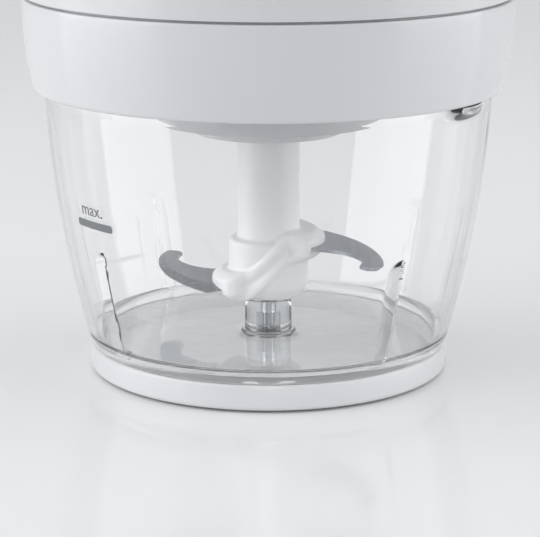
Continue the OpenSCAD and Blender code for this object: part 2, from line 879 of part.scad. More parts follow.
module upper_casing() {
    color("white")
    difference() {
        union() {
            difference() {
                casing_solid(0);
                translate([0, 0, -eps]) casing_solid(casing_wall);
            }
            intersection() {
                union() {
                    around(4, 45) translate([post_at, 0, 0]) rod(post_r, deck_top, plate_top + 2 - deck_top);
                    ring(seam_r, ledge_r, plate_top, 2);
                }
                union() {
                    casing_solid(1);
                    rod(tongue_r - 2, deck_top, seam_z + 1 - deck_top);
                }
            }
        }
        rod(bezel_in, casing_top - 9, 12);
        around(4, 45) translate([post_at, 0, 0]) rod(1.6, deck_top - 1, 13);
        around(3, 30) translate([plate_r - 2.6, 0, 0]) rod(1.2, plate_z, plate_t + 3);
        translate([0, 0, gland_z]) rotate([-90, 0, 0]) rod(gland_r, 30, 100);
    }
}

module casing_screws() {
    color("silver")
    around(4, 45) translate([post_at, 0, 0]) screw(deck_z, 13.5, head_r = 3.2, head_h = 2.4);
}

// Switch and its plate
module switch_plate() {
    color("whitesmoke")
    difference() {
        union() {
            rod(plate_r, plate_z, plate_t);
            for (side = [-1, 1])
                translate([side * (cord_r + 4.5) - 3.5, 42, gland_z - cord_r + 0.5])
                cube([7, 8, plate_z - gland_z + cord_r]);
        }
        around(4, 45) translate([post_at, 0, 0]) rod(post_r + 1, plate_z - 1, plate_t + 2);
        around(3, 30) translate([plate_r - 2.6, 0, 0]) rod(1.4, plate_z - 1, plate_t + 2);
        around(2) translate([20, 0, 0]) rod(4, plate_z - 1, plate_t + 2);
        clamp_screw_holes(1.2);
    }
}

module plate_screws() {
    color("silver")
    around(3, 30) translate([plate_r - 2.6, 0, 0])
        screw(plate_z, plate_t + 2, r = 1.2, head_r = 2.2, head_h = 1.6);
}

module switch_body() {
    color("black")
    difference() {
        block([-10, -5, plate_top], [10, 5, switch_top]);
        rod(2.1, switch_top - button_travel - 4.2, 20);
    }
}

module switch_plunger() {
    color("red") rod(2, switch_top - 3.2, plunger_top - switch_top + 3.2);
}

module noise_capacitor() {
    color("gold") {
        block([-62, -9, deck_top], [-50, 9, deck_top + 15]);
    }
}

module terminal_block() {
    color("ivory")
    difference() {
        block([50, -8, deck_top], [60, 8, deck_top + 12]);
        for (y = [-4, 4]) translate([55, y, 0]) rod(1.8, deck_top + 3, 12);
    }
}

// Cord entry
module cord_gland() {
    inside = gland_y - casing_wall - 3;
    color("white")
    difference() {
        union() {
            translate([0, 0, gland_z]) rotate([-90, 0, 0]) {
                rod(gland_r, inside, gland_y + 4 - inside);
                rod(gland_r + 1.8, inside - 1.6, 1.8);
            }
            difference() {
                translate([0, 0, gland_z]) rotate([-90, 0, 0]) rod(gland_r + 1.8, gland_y - 1, 2.8);
                casing_solid(0);
            }
        }
        translate([0, 0, gland_z]) rotate([-90, 0, 0]) rod(cord_r, inside - 5, 30);
    }
}

module clamp_screw_holes(r) {
    for (side = [-1, 1])
        translate([side * (cord_r + 4.5), 46, 0]) rod(r, gland_z - cord_r - 5, cord_r + 9);
}

module cord_clamp() {
    color("whitesmoke")
    difference() {
        block([-cord_r - 8, 42, gland_z - cord_r - 3], [cord_r + 8, 50, gland_z - cord_r + 0.5]);
        clamp_screw_holes(1.2);
    }
}

module clamp_screws() {
    color("silver")
    for (side = [-1, 1])
        translate([side * (cord_r + 4.5), 46, 0])
        screw(gland_z - cord_r - 3, 10, r = 1.2, head_r = 2.2, head_h = 1.6);
}

// Button
module button_bezel() {
    low = button_foot + flange_t + 0.3;
    color("silver")
    spun([[bezel_r, low], [bezel_in, low], [bezel_in, casing_top],
        [bezel_in + 2.4, casing_top], [bezel_in + 2.4, casing_top + 0.8],
        [bezel_in + 1.4, casing_top + 1.6], [bezel_r + 0.6, casing_top + 1.8],
        [bezel_r, casing_top + 1.2]]);
}

module push_button() {
    color("gainsboro") {
        spun(concat(
            [[button_r - 2.2, button_foot], [flange_r, button_foot],
                [flange_r, button_foot + flange_t], [button_r, button_foot + flange_t]],
            arc([button_r, button_edge_z - 2], [button_r - 4, button_edge_z + 2.2], 1.1, 5),
            arc([button_r - 4, button_edge_z + 2.2], [0, button_top], 1.6, 8),
            arc([0, button_top - 2.2], [button_r - 4.4, button_edge_z], -1.6, 8),
            [[button_r - 2.2, button_edge_z - 2.5]]));
        rod(5, plunger_top + gap, button_top - 2 - plunger_top);
        ring(spring_r + wire_r + 0.4, spring_r - wire_r - 1, spring_top,
            button_top - 2.6 - spring_top);
    }
}

module button_spring() {
    turns = 5;
    steps = 20;
    low = plate_top + wire_r;
    rise = spring_top - plate_top - 2 * wire_r;
    color("silver")
    skin([for (i = [0:turns * steps])
        let (turn = i * 360 / steps)
        let (z = low + rise * i / (turns * steps))
        [for (j = [0:5]) concat(polar(spring_r + wire_r * cos(j * 60), turn),
            z + wire_r * sin(j * 60))]]);
}

base_lid();
non_slip_ring();
bowl();
spindle_pin();
level_mark();
knife_hub();
upper_blade();
lower_blade();
hub_bush();
lower_casing();
underside_cover();
bowl_gasket();
shaft_seal();
gear_housing();
coupling_bearing();
ring_gear();
gearbox_cover();
planet_carrier();
planet_pins();
output_coupling();
planet_gear_1();
planet_gear_2();
planet_gear_3();
sun_pinion();
motor_shaft();
armature_core();
armature_windings();
commutator();
cooling_fan();
lower_bracket();
lower_bearing();
motor_mounts();
motor_screws();
stator_core();
field_coils();
stator_screws();
upper_bracket();
upper_bearing();
brush_holders();
carbon_brushes();
brush_springs();
upper_casing();
casing_screws();
switch_plate();
plate_screws();
switch_body();
switch_plunger();
noise_capacitor();
terminal_block();
cord_gland();
cord_clamp();
clamp_screws();
button_bezel();
push_button();
button_spring();
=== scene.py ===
import bpy
import bmesh
import math
import json
from mathutils import Matrix, Vector


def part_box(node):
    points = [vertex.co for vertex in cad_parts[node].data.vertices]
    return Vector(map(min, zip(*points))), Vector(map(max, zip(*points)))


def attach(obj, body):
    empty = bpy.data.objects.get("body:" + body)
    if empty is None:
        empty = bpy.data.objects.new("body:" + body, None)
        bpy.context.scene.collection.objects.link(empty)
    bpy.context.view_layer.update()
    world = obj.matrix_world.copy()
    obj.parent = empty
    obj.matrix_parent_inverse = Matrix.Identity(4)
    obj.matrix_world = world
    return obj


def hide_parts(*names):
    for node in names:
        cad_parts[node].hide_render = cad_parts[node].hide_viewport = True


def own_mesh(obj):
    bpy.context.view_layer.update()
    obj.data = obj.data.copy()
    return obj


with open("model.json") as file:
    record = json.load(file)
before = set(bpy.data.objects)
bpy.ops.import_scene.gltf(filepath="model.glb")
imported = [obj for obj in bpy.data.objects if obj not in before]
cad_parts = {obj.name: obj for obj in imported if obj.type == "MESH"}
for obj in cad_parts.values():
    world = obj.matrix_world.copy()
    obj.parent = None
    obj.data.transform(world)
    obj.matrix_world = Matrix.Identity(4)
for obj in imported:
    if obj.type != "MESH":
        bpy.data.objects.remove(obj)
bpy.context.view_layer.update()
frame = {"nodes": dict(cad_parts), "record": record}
cadNodes = frame["nodes"]
mm = 0.001
print("frame loaded:", len(cadNodes), "nodes")


# outlines: points are (radius, height) in millimetres

def arcPoints(a, b, bulge, steps=12):
    # from a to b, bowed out to the right by bulge
    a, b = Vector(a), Vector(b)
    along = (b - a).normalized()
    side = Vector((along.y, -along.x)) * (1 if bulge > 0 else -1)
    chord, sag = (b - a).length, abs(bulge)
    radius = (chord * chord / 4 + sag * sag) / (2 * sag)
    centre = (a + b) / 2 + side * (sag - radius)
    half = math.asin(min(1, chord / 2 / radius))
    turns = [half * (2 * i / steps - 1) for i in range(steps + 1)]
    return [tuple(centre + radius * (side * math.cos(t) + along * math.sin(t))) for t in turns]


def roundedPath(corners, steps=5):
    # each corner is (radius, height) or (radius, height, fillet)
    path = []
    for i, corner in enumerate(corners):
        here = Vector(corner[:2])
        fillet = corner[2] if len(corner) > 2 else 0
        if fillet == 0 or i in (0, len(corners) - 1):
            path.append(tuple(here))
            continue
        back = (Vector(corners[i - 1][:2]) - here).normalized()
        ahead = (Vector(corners[i + 1][:2]) - here).normalized()
        half = back.angle(ahead) / 2
        reach = fillet / math.tan(half)
        centre = here + (back + ahead).normalized() * (fillet / math.sin(half))
        first, last = here + back * reach, here + ahead * reach
        spread = math.pi - 2 * half
        for k in range(steps + 1):
            weight = math.sin(spread * (1 - k / steps)), math.sin(spread * k / steps)
            arm = ((first - centre) * weight[0] + (last - centre) * weight[1]) / math.sin(spread)
            path.append(tuple(centre + arm))
    return path


# making pieces

def finishPiece(bm, name, material, body, replaced=(), sharp=32):
    bmesh.ops.recalc_face_normals(bm, faces=bm.faces)
    for face in bm.faces:
        face.smooth = True
    for edge in bm.edges:
        edge.smooth = len(edge.link_faces) != 2 or edge.calc_face_angle(0) < math.radians(sharp)
    mesh = bpy.data.meshes.new(name)
    bm.to_mesh(mesh)
    bm.free()
    piece = bpy.data.objects.new(name, mesh)
    bpy.context.scene.collection.objects.link(piece)
    mesh.materials.append(material)
    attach(piece, body)
    if replaced:
        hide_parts(*replaced)
    return piece


def spinOutline(bm, points, steps=128, closed=True):
    # turns an outline once round the Z axis, and welds what meets on the axis
    verts = [bm.verts.new((r * mm, 0, z * mm)) for r, z in points]
    pairs = list(zip(verts, verts[1:]))
    if closed:
        pairs.append((verts[-1], verts[0]))
    edges = [bm.edges.new(pair) for pair in pairs]
    bmesh.ops.spin(bm, geom=verts + edges, cent=(0, 0, 0), axis=(0, 0, 1), angle=2 * math.pi,
                   steps=steps, use_merge=True, use_duplicate=False)
    bmesh.ops.remove_doubles(bm, verts=bm.verts, dist=0.00001)
    loose = [e for e in bm.edges if not e.link_faces]
    bmesh.ops.delete(bm, geom=loose, context="EDGES")


def spunPiece(name, points, material, body, replaced=(), steps=128, closed=True):
    bm = bmesh.new()
    spinOutline(bm, points, steps, closed)
    return finishPiece(bm, name, material, body, replaced)


def applyModifier(piece, kind, **settings):
    modifier = piece.modifiers.new(kind.title(), kind)
    for key, value in settings.items():
        setattr(modifier, key, value)
    bpy.context.view_layer.objects.active = piece
    bpy.ops.object.modifier_apply(modifier=modifier.name)


def cutAway(piece, tool):
    # takes the shape in the bmesh away from the piece
    mesh = bpy.data.meshes.new("cutter")
    tool.to_mesh(mesh)
    tool.free()
    cutter = bpy.data.objects.new("cutter", mesh)
    bpy.context.scene.collection.objects.link(cutter)
    applyModifier(piece, "BOOLEAN", operation="DIFFERENCE", object=cutter, solver="EXACT")
    bpy.data.objects.remove(cutter)


# materials

def newMaterial(name, color, roughness, metallic=0.0):
    material = bpy.data.materials.new(name)
    material.use_nodes = True
    shader = material.node_tree.nodes["Principled BSDF"]
    shader.inputs["Base Color"].default_value = (*color, 1)
    shader.inputs["Roughness"].default_value = roughness
    shader.inputs["Metallic"].default_value = metallic
    return material, material.node_tree, shader


def objectPoint(tree, stretch=(1, 1, 1)):
    place = tree.nodes.new("ShaderNodeTexCoord")
    mapping = tree.nodes.new("ShaderNodeMapping")
    mapping.inputs["Scale"].default_value = stretch
    tree.links.new(place.outputs["Object"], mapping.inputs["Vector"])
    return mapping.outputs["Vector"]


def noiseOn(tree, vector, scale, detail=3.0):
    noise = tree.nodes.new("ShaderNodeTexNoise")
    noise.inputs["Scale"].default_value = scale
    noise.inputs["Detail"].default_value = detail
    tree.links.new(vector, noise.inputs["Vector"])
    return noise.outputs["Fac"]


def spreadTo(tree, fac, low, high, socket):
    ramp = tree.nodes.new("ShaderNodeMapRange")
    ramp.inputs["To Min"].default_value = low
    ramp.inputs["To Max"].default_value = high
    tree.links.new(fac, ramp.inputs["Value"])
    tree.links.new(ramp.outputs["Result"], socket)


def tintTo(tree, fac, low, high, socket):
    ramp = tree.nodes.new("ShaderNodeValToRGB")
    ramp.color_ramp.elements[0].color = (*low, 1)
    ramp.color_ramp.elements[1].color = (*high, 1)
    ramp.color_ramp.elements[0].position = 0.35
    ramp.color_ramp.elements[1].position = 0.65
    tree.links.new(fac, ramp.inputs["Fac"])
    tree.links.new(ramp.outputs["Color"], socket)


def bumpFrom(tree, fac, strength, distance, socket):
    bump = tree.nodes.new("ShaderNodeBump")
    bump.inputs["Strength"].default_value = strength
    bump.inputs["Distance"].default_value = distance
    tree.links.new(fac, bump.inputs["Height"])
    tree.links.new(bump.outputs["Normal"], socket)


def glossPlastic(name, color, roughness=0.13, sheen=0.02):
    # moulded plastic: a faint flow pattern in the colour, and a very fine orange peel
    material, tree, shader = newMaterial(name, color, roughness)
    shader.inputs["IOR"].default_value = 1.5
    shader.inputs["Subsurface Weight"].default_value = 0.06
    shader.inputs["Subsurface Radius"].default_value = (0.002, 0.002, 0.0018)
    shader.inputs["Subsurface Scale"].default_value = 0.5
    vector = objectPoint(tree)
    flow = noiseOn(tree, vector, 14, 2)
    darker = tuple(c * (1 - sheen) for c in color)
    tintTo(tree, flow, darker, color, shader.inputs["Base Color"])
    spreadTo(tree, noiseOn(tree, vector, 60, 4), roughness * 0.8, roughness * 1.25,
             shader.inputs["Roughness"])
    bumpFrom(tree, noiseOn(tree, vector, 900, 2), 0.05, 0.00004, shader.inputs["Normal"])
    return material


def grainedPlastic(name, color, roughness=0.45):
    # spark-eroded mould grain
    material, tree, shader = newMaterial(name, color, roughness)
    vector = objectPoint(tree)
    darker = tuple(c * 0.93 for c in color)
    tintTo(tree, noiseOn(tree, vector, 40, 3), darker, color, shader.inputs["Base Color"])
    spreadTo(tree, noiseOn(tree, vector, 120, 3), roughness * 0.85, roughness * 1.15,
             shader.inputs["Roughness"])
    bumpFrom(tree, noiseOn(tree, vector, 1600, 4), 0.25, 0.00006, shader.inputs["Normal"])
    return material


# metres: where the painted light band on the foot starts and is whole, outwards and downwards
paintedFootLightSize = {"outFrom": 0.0518, "outFull": 0.0524, "highest": 0.0125, "fullBelow": 0.0105,
             "share": 0.35}


def rampFrom(tree, value, start, full, most, socket):
    ramp = tree.nodes.new("ShaderNodeMapRange")
    ramp.inputs["From Min"].default_value = start
    ramp.inputs["From Max"].default_value = full
    ramp.inputs["To Max"].default_value = most
    tree.links.new(value, ramp.inputs["Value"])
    tree.links.new(ramp.outputs["Result"], socket)


def clearPlastic(name, s):
    # clear polymer with the slight waviness that a moulded wall has, stretched along its height
    material, tree, shader = newMaterial(name, (0.985, 0.99, 0.992), 0.0)
    shader.inputs["IOR"].default_value = 1.49
    # painted light: the outside of the foot turns partly milky white, so it shows lighter there
    axes = tree.nodes.new("ShaderNodeSeparateXYZ")
    tree.links.new(objectPoint(tree), axes.inputs["Vector"])
    flat = tree.nodes.new("ShaderNodeVectorMath")
    flat.operation = "LENGTH"
    tree.links.new(objectPoint(tree, (1, 1, 0)), flat.inputs[0])
    paintedFootLight = tree.nodes.new("ShaderNodeMath")
    paintedFootLight.operation = "MULTIPLY"
    rampFrom(tree, flat.outputs["Value"], s["outFrom"], s["outFull"], 1, paintedFootLight.inputs[0])
    rampFrom(tree, axes.outputs["Z"], s["highest"], s["fullBelow"], s["share"], paintedFootLight.inputs[1])
    spreadTo(tree, paintedFootLight.outputs["Value"], 1, 0, shader.inputs["Transmission Weight"])
    wave = noiseOn(tree, objectPoint(tree, (1, 1, 0.15)), 55, 2)
    bumpFrom(tree, wave, 0.16, 0.0006, shader.inputs["Normal"])
    return material


def brushedMetal(name, color, roughness, stretch=(1, 1, 1), scale=700, depth=0.00002):
    # fine parallel grinding lines
    material, tree, shader = newMaterial(name, color, roughness, 1.0)
    vector = objectPoint(tree, stretch)
    lines = noiseOn(tree, vector, scale, 4)
    darker = tuple(c * 0.82 for c in color)
    tintTo(tree, lines, darker, color, shader.inputs["Base Color"])
    spreadTo(tree, noiseOn(tree, vector, scale * 0.4, 3), roughness * 0.75, roughness * 1.3,
             shader.inputs["Roughness"])
    bumpFrom(tree, lines, 0.35, depth, shader.inputs["Normal"])
    return material


def softRubber(name, color):
    material, tree, shader = newMaterial(name, color, 0.7)
    vector = objectPoint(tree)
    tintTo(tree, noiseOn(tree, vector, 90, 4), tuple(c * 0.85 for c in color), color,
           shader.inputs["Base Color"])
    bumpFrom(tree, noiseOn(tree, vector, 1200, 5), 0.4, 0.0001, shader.inputs["Normal"])
    return material


def woundWire(name, color):
    # turns of enamelled wire, as close bands
    material, tree, shader = newMaterial(name, color, 0.3, 0.85)
    bands = tree.nodes.new("ShaderNodeTexWave")
    bands.bands_direction = "DIAGONAL"
    bands.inputs["Scale"].default_value = 900
    bands.inputs["Distortion"].default_value = 1.5
    tree.links.new(objectPoint(tree), bands.inputs["Vector"])
    tintTo(tree, bands.outputs["Fac"], tuple(c * 0.45 for c in color), color,
           shader.inputs["Base Color"])
    bumpFrom(tree, bands.outputs["Fac"], 0.7, 0.0002, shader.inputs["Normal"])
    return material


def platedStack(name, color):
    # stamped steel sheets, stacked along the height
    material, tree, shader = newMaterial(name, color, 0.4, 0.9)
    sheets = tree.nodes.new("ShaderNodeTexWave")
    sheets.bands_direction = "Z"
    sheets.inputs["Scale"].default_value = 640
    tree.links.new(objectPoint(tree), sheets.inputs["Vector"])
    tintTo(tree, sheets.outputs["Fac"], tuple(c * 0.5 for c in color), color,
           shader.inputs["Base Color"])
    bumpFrom(tree, sheets.outputs["Fac"], 0.5, 0.00015, shader.inputs["Normal"])
    return material


finish = {
    "white_gloss": glossPlastic("GlossWhiteCasing", (0.73, 0.745, 0.76)),
    "clear_bowl": clearPlastic("ClearBowlPlastic", paintedFootLightSize),
    "grey_rubber": softRubber("GreySilicone", (0.50, 0.51, 0.52)),
    "black_rubber": softRubber("BlackRubber", (0.03, 0.03, 0.03)),
    "mark_ink": grainedPlastic("PrintedGrey", (0.20, 0.22, 0.23), 0.5),
    "blade_steel": brushedMetal("GroundBladeSteel", (0.34, 0.355, 0.385), 0.32, (1, 0.08, 1)),
    "pin_steel": brushedMetal("PolishedPinSteel", (0.76, 0.78, 0.80), 0.14, (1, 1, 0.1)),
    "white_matte": glossPlastic("WhiteKnifePlastic", (0.86, 0.865, 0.87), 0.3),
    "ivory_acetal": grainedPlastic("IvoryAcetal", (0.74, 0.69, 0.56)),
    "sintered_bronze": brushedMetal("SinteredBronze", (0.50, 0.34, 0.14), 0.5),
    "zinc_steel": brushedMetal("ZincPlatedSteel", (0.55, 0.56, 0.56), 0.35),
    "core_steel": platedStack("StampedCoreSteel", (0.20, 0.20, 0.22)),
    "copper": woundWire("EnamelledCopper", (0.62, 0.25, 0.09)),
    "carbon": grainedPlastic("BrushCarbon", (0.03, 0.03, 0.03), 0.6),
    "brass_parts": brushedMetal("StampedBrass", (0.62, 0.43, 0.15), 0.3),
    "black_plastic": grainedPlastic("BlackPlastic", (0.04, 0.04, 0.045)),
    "yellow_film": grainedPlastic("YellowCapacitorCase", (0.68, 0.42, 0.05), 0.35),
    "light_grey": glossPlastic("LightGreyButton", (0.62, 0.63, 0.64), 0.28),
    "bezel_silver": brushedMetal("SatinSilverBezel", (0.60, 0.61, 0.62), 0.3),
    "cast_bracket": brushedMetal("CastBracket", (0.45, 0.46, 0.48), 0.5),
}

slotOf = {s["node"]: s["material_slot"] for s in frame["record"]["subparts"]}
for nodeName, node in cadNodes.items():
    node.data.materials.clear()
    node.data.materials.append(finish[slotOf[nodeName]])
print("materials done")


# base lid

lidSize = {"radius": 54.8, "rim": 1.7, "seat": 2.6, "under": 0.6, "top": 8.2}


def makeBaseLid(s):
    inside = s["radius"] - s["rim"]
    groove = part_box("non_slip_ring")
    grooveOut = groove[1].x / mm
    grooveIn = grooveOut - 4
    outline = roundedPath([
        (0, s["under"]), (grooveIn, s["under"], 0.2), (grooveIn, 1.6), (grooveOut, 1.6),
        (grooveOut, s["under"], 0.2), (s["radius"], s["under"], 1.5), (s["radius"], s["top"], 0.7),
        (inside, s["top"], 0.5), (inside, s["seat"], 0.4), (0, s["seat"])])
    spunPiece("baseLid", outline, finish["white_gloss"], "base", ["base_lid"], 192,
              closed=False)


makeBaseLid(lidSize)


# bowl: clear shell, with the spindle boss, four ribs and the locating lug in one piece

bowlSize = {
    "footR": 54.7, "footZ": 9.1, "topR": 67.3, "topZ": 84.7, "bulge": 2.1, "rimZ": 98,
    "wall": 2.0, "floorZ": 10.6, "floorUnder": 8.2, "skirtR": 52.8, "skirtIn": 50.8, "seatZ": 2.6,
    "bossR": 7.1, "bossTop": 21.0, "flangeR": 8.2, "flangeZ": 11.4,
    "ribs": 4, "ribFirst": -51, "ribDepth": 0.8, "ribWidth": 5.5, "ribTop": 43.9, "ribHook": 2.2,
    "lugTurn": -32, "lugHalf": 12.5, "lugOut": 2.3, "lugDrop": 4.4, "lugTop": 86.4}


def bowlRadius(s, z):
    # outer radius of the bowed wall at a height
    if z >= s["topZ"]:
        return s["topR"]
    a, b = Vector((s["footR"], s["footZ"])), Vector((s["topR"], s["topZ"]))
    chord = (b - a).length
    radius = (chord * chord / 4 + s["bulge"] ** 2) / (2 * s["bulge"])
    side = Vector(((b - a).y, -(b - a).x)) / chord
    centre = (a + b) / 2 + side * (s["bulge"] - radius)
    return centre.x + math.sqrt(radius ** 2 - (z - centre.y) ** 2)


def spread(low, high, step):
    count = max(1, round((high - low) / step))
    return [low + (high - low) * i / count for i in range(count + 1)]


def makeBowl(s):
    heights = spread(s["footZ"], 80, 4)[:-1] + spread(80, s["lugTop"], 0.25)
    outer = [(bowlRadius(s, z), z) for z in heights]
    innerHeights = spread(s["floorZ"] + 2.6, 38, 3)[:-1] + spread(38, 46, 0.4)[:-1]
    innerHeights += spread(46, 92, 5)
    inner = [(bowlRadius(s, z) - s["wall"], z) for z in innerHeights]
    foot = roundedPath([(s["skirtIn"], s["floorUnder"]), (s["skirtIn"], s["seatZ"], 0.5),
                        (s["skirtR"], s["seatZ"], 0.5), (s["skirtR"], 8.0, 0.6),
                        (s["footR"], s["footZ"] - 0.25)])
    rim = roundedPath([(s["topR"], s["lugTop"] + 0.3), (s["topR"], s["rimZ"], 0.7),
                       (s["topR"] - s["wall"], s["rimZ"], 0.7), (s["topR"] - s["wall"], 94)])
    wallFoot = inner[0]
    floorEdge = arcPoints((wallFoot[0], wallFoot[1]), (wallFoot[0] - 2.9, s["floorZ"]), 0.8, 6)[1:]
    boss = roundedPath([(12, s["floorZ"]), (s["flangeR"], s["floorZ"], 0.4),
                        (s["flangeR"], s["flangeZ"], 0.3), (s["bossR"] + 0.15, s["flangeZ"], 0.2),
                        (s["bossR"] - 0.1, s["bossTop"], 0.5), (0, s["bossTop"])])
    outline = foot + outer + rim + inner[::-1] + floorEdge + boss + [(0, s["floorUnder"])]
    bm = bmesh.new()
    spinOutline(bm, outline, steps=720)
    floorR = wallFoot[0] - 2.9
    for vert in bm.verts:
        x, y, z = (c / mm for c in vert.co)
        r = math.hypot(x, y)
        turn = math.degrees(math.atan2(y, x))
        push = 0.0
        wall = bowlRadius(s, max(z, s["footZ"]))
        if r < wall - s["wall"] / 2 and r > floorR - 0.01 and s["floorZ"] - 0.01 <= z < 50:
            # saw-tooth ribs: steep on one side, sloping on the other, rounded over at the top
            pitch = 360 / s["ribs"]
            behind = (s["ribFirst"] - turn) % pitch
            slope = s["ribWidth"] / wall * 180 / math.pi
            if behind < slope:
                t = behind / slope
                top = s["ribTop"] - s["ribHook"] * t * t
                fade = min(1, max(0, (top - z) / 2.2))
                push = -s["ribDepth"] * (1 - t) * fade * (2 - fade)
        if r > wall - s["wall"] / 2 and s["lugTop"] - s["lugDrop"] < z < s["lugTop"] + 0.05:
            away = math.radians((turn - s["lugTurn"] + 180) % 360 - 180) * s["topR"] / s["lugHalf"]
            rise = (z - s["lugTop"] + s["lugDrop"]) / s["lugDrop"]
            push = s["lugOut"] * max(0, 1 - away * away) ** 1.5 * rise * rise * (3 - 2 * rise)
        if push:
            vert.co.x += push * mm * x / r
            vert.co.y += push * mm * y / r
    piece = finishPiece(bm, "clearBowl", finish["clear_bowl"], "bowl", ["bowl"],
                        sharp=24)
    piece.visible_shadow = False  # light passes through the clear wall


makeBowl(bowlSize)
print("bowl done")


# spindle: fluted foot and smooth pin

pinSize = {"flutes": 16, "footR": 2.5, "cut": 0.6, "footZ": 9.6, "footTop": 16.7, "pinR": 1.6}


def makeSpindle(s):
    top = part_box("spindle_pin")[1].z / mm
    bm = bmesh.new()
    bmesh.ops.create_circle(bm, cap_ends=True, segments=4 * s["flutes"], radius=s["footR"] * mm)
    for vert in bm.verts:
        turn = math.atan2(vert.co.y, vert.co.x)
        cut = s["cut"] * (0.5 - 0.5 * math.cos(turn * s["flutes"]))
        vert.co *= (s["footR"] - cut) / s["footR"]
        vert.co.z = s["footZ"] * mm
    raised = bmesh.ops.extrude_face_region(bm, geom=bm.faces[:])["geom"]
    for vert in (v for v in raised if isinstance(v, bmesh.types.BMVert)):
        vert.co.z = s["footTop"] * mm
    spinOutline(bm, roundedPath([(0, s["footTop"] - 0.5), (s["pinR"], s["footTop"] - 0.5),
                                 (s["pinR"], top, 0.5), (0, top)]), 48, closed=False)
    finishPiece(bm, "spindlePin", finish["pin_steel"], "bowl", ["spindle_pin"])


makeSpindle(pinSize)


# level mark: a printed bar with a plain level word over it, wrapped on the wall

markSize = {"turn": -141.8, "width": 17.1, "height": 2.3, "z": 52, "film": 0.1,
            "word": "max.", "wordSize": 5.5, "wordRise": 1.6, "wordIn": 3.0}


def wrapOnWall(bm, s):
    # flat x goes round the wall and flat y goes up it
    for vert in bm.verts:
        z = s["z"] + vert.co.y
        r = bowlRadius(bowlSize, z) + vert.co.z
        turn = math.radians(s["turn"]) + vert.co.x / bowlRadius(bowlSize, s["z"])
        vert.co = Vector((r * math.cos(turn), r * math.sin(turn), z)) * mm


def makeLevelMark(s):
    bm = bmesh.new()
    half, rise = s["width"] / 2, s["height"] / 2
    corners = [(0, -rise), (half, -rise, 0.9), (half, rise, 0.9), (-half, rise, 0.9),
               (-half, -rise, 0.9), (-0.01, -rise)]
    loop = [bm.verts.new((x, y, 0.02)) for x, y in roundedPath(corners)]
    bm.faces.new(loop)
    for cut in range(-7, 8):
        bmesh.ops.bisect_plane(bm, geom=bm.verts[:] + bm.edges[:] + bm.faces[:],
                               plane_co=(cut * half / 8, 0, 0), plane_no=(1, 0, 0))
    words = bpy.data.curves.new("levelWord", "FONT")
    words.body = s["word"]
    words.size = s["wordSize"]
    words.resolution_u = 4
    holder = bpy.data.objects.new("levelWord", words)
    flat = bpy.data.meshes.new_from_object(holder)
    bpy.data.objects.remove(holder)
    before = set(bm.verts)
    bm.from_mesh(flat)
    bpy.data.meshes.remove(flat)
    for vert in set(bm.verts) - before:
        vert.co += Vector((s["wordIn"] - half, rise + s["wordRise"], 0.02))
    raised = bmesh.ops.extrude_face_region(bm, geom=bm.faces[:], use_keep_orig=True)["geom"]
    for vert in (v for v in raised if isinstance(v, bmesh.types.BMVert)):
        vert.co.z += s["film"]
    wrapOnWall(bm, s)
    finishPiece(bm, "levelMark", finish["mark_ink"], "bowl", ["level_mark"])


makeLevelMark(markSize)
print("spindle and level mark done")


# knife

hubSize = {"bottom": 22.2, "top": 40.2, "r": 12.2, "tubeR": 9.5, "tubeTop": 76.1, "podOut": 5.1,
           "lowZ": 26.35, "highZ": 38.75, "groove": 0.8,
           "socketR": 5.18, "socketZ": 62, "boreR": 3.2, "boreDeep": 6, "toolLong": 40, "grain": 0.34}


def makeHub(s):
    bm = bmesh.new()
    spinOutline(bm, roundedPath([
        (0, s["bottom"]), (s["r"] - 2.2, s["bottom"], 1.2), (s["r"], s["bottom"] + 3.4, 3.0),
        (s["r"], s["top"], 1.3), (s["tubeR"] - 0.1, s["top"], 0.8), (s["tubeR"], s["tubeTop"], 0.6),
        (0, s["tubeTop"])]), 96, closed=False)
    mid, climb = (s["lowZ"] + s["highZ"]) / 2, (s["highZ"] - s["lowZ"]) / 2
    band = bmesh.new()
    section = [(-3, -1), (0.3, -1), (0.8, -0.85), (0.9, -0.5), (0.9, -0.3), (0.9, -0.15), (0.9, 0)]
    section += [(r, -level) for r, level in section[-2::-1]]
    spinOutline(band, [(s["r"] + r, level) for r, level in section], 180)
    for vert in band.verts:
        # the band climbs from the low pod to the high pod, and swells into a broad lobe at both
        turn = math.atan2(vert.co.y, vert.co.x)
        c = math.cos(turn)
        rise = math.sin(math.pi / 2 * max(-1, min(1, c / 0.75)))
        lobe = max(0, min(1, (abs(c) - 0.45) / 0.3))
        lobe *= lobe * (3 - 2 * lobe)
        r, level = math.hypot(vert.co.x, vert.co.y) / mm, vert.co.z / mm
        if r > s["r"]:
            r += (s["podOut"] - 0.9) * lobe * (1 - 1.1 * max(0, abs(level) - 0.5))
            r -= s["groove"] * (1 - lobe) * math.exp(-(level / 0.25) ** 2)
        z = mid + rise * climb + level * (4 + math.sin(turn) ** 2)
        vert.co = Vector((r * math.cos(turn), r * math.sin(turn), z)) * mm
    bandMesh = bpy.data.meshes.new("hubBand")
    bmesh.ops.recalc_face_normals(band, faces=band.faces)
    band.to_mesh(bandMesh)
    band.free()
    bm.from_mesh(bandMesh)
    bpy.data.meshes.remove(bandMesh)
    piece = finishPiece(bm, "knifeHub", finish["white_matte"], "knife",
                        ["knife_hub"])
    applyModifier(piece, "REMESH", mode="VOXEL", voxel_size=s["grain"] * mm, use_smooth_shade=True)
    applyModifier(piece, "SMOOTH", factor=0.5, iterations=7)
    cutSocket(piece, s)
    return piece


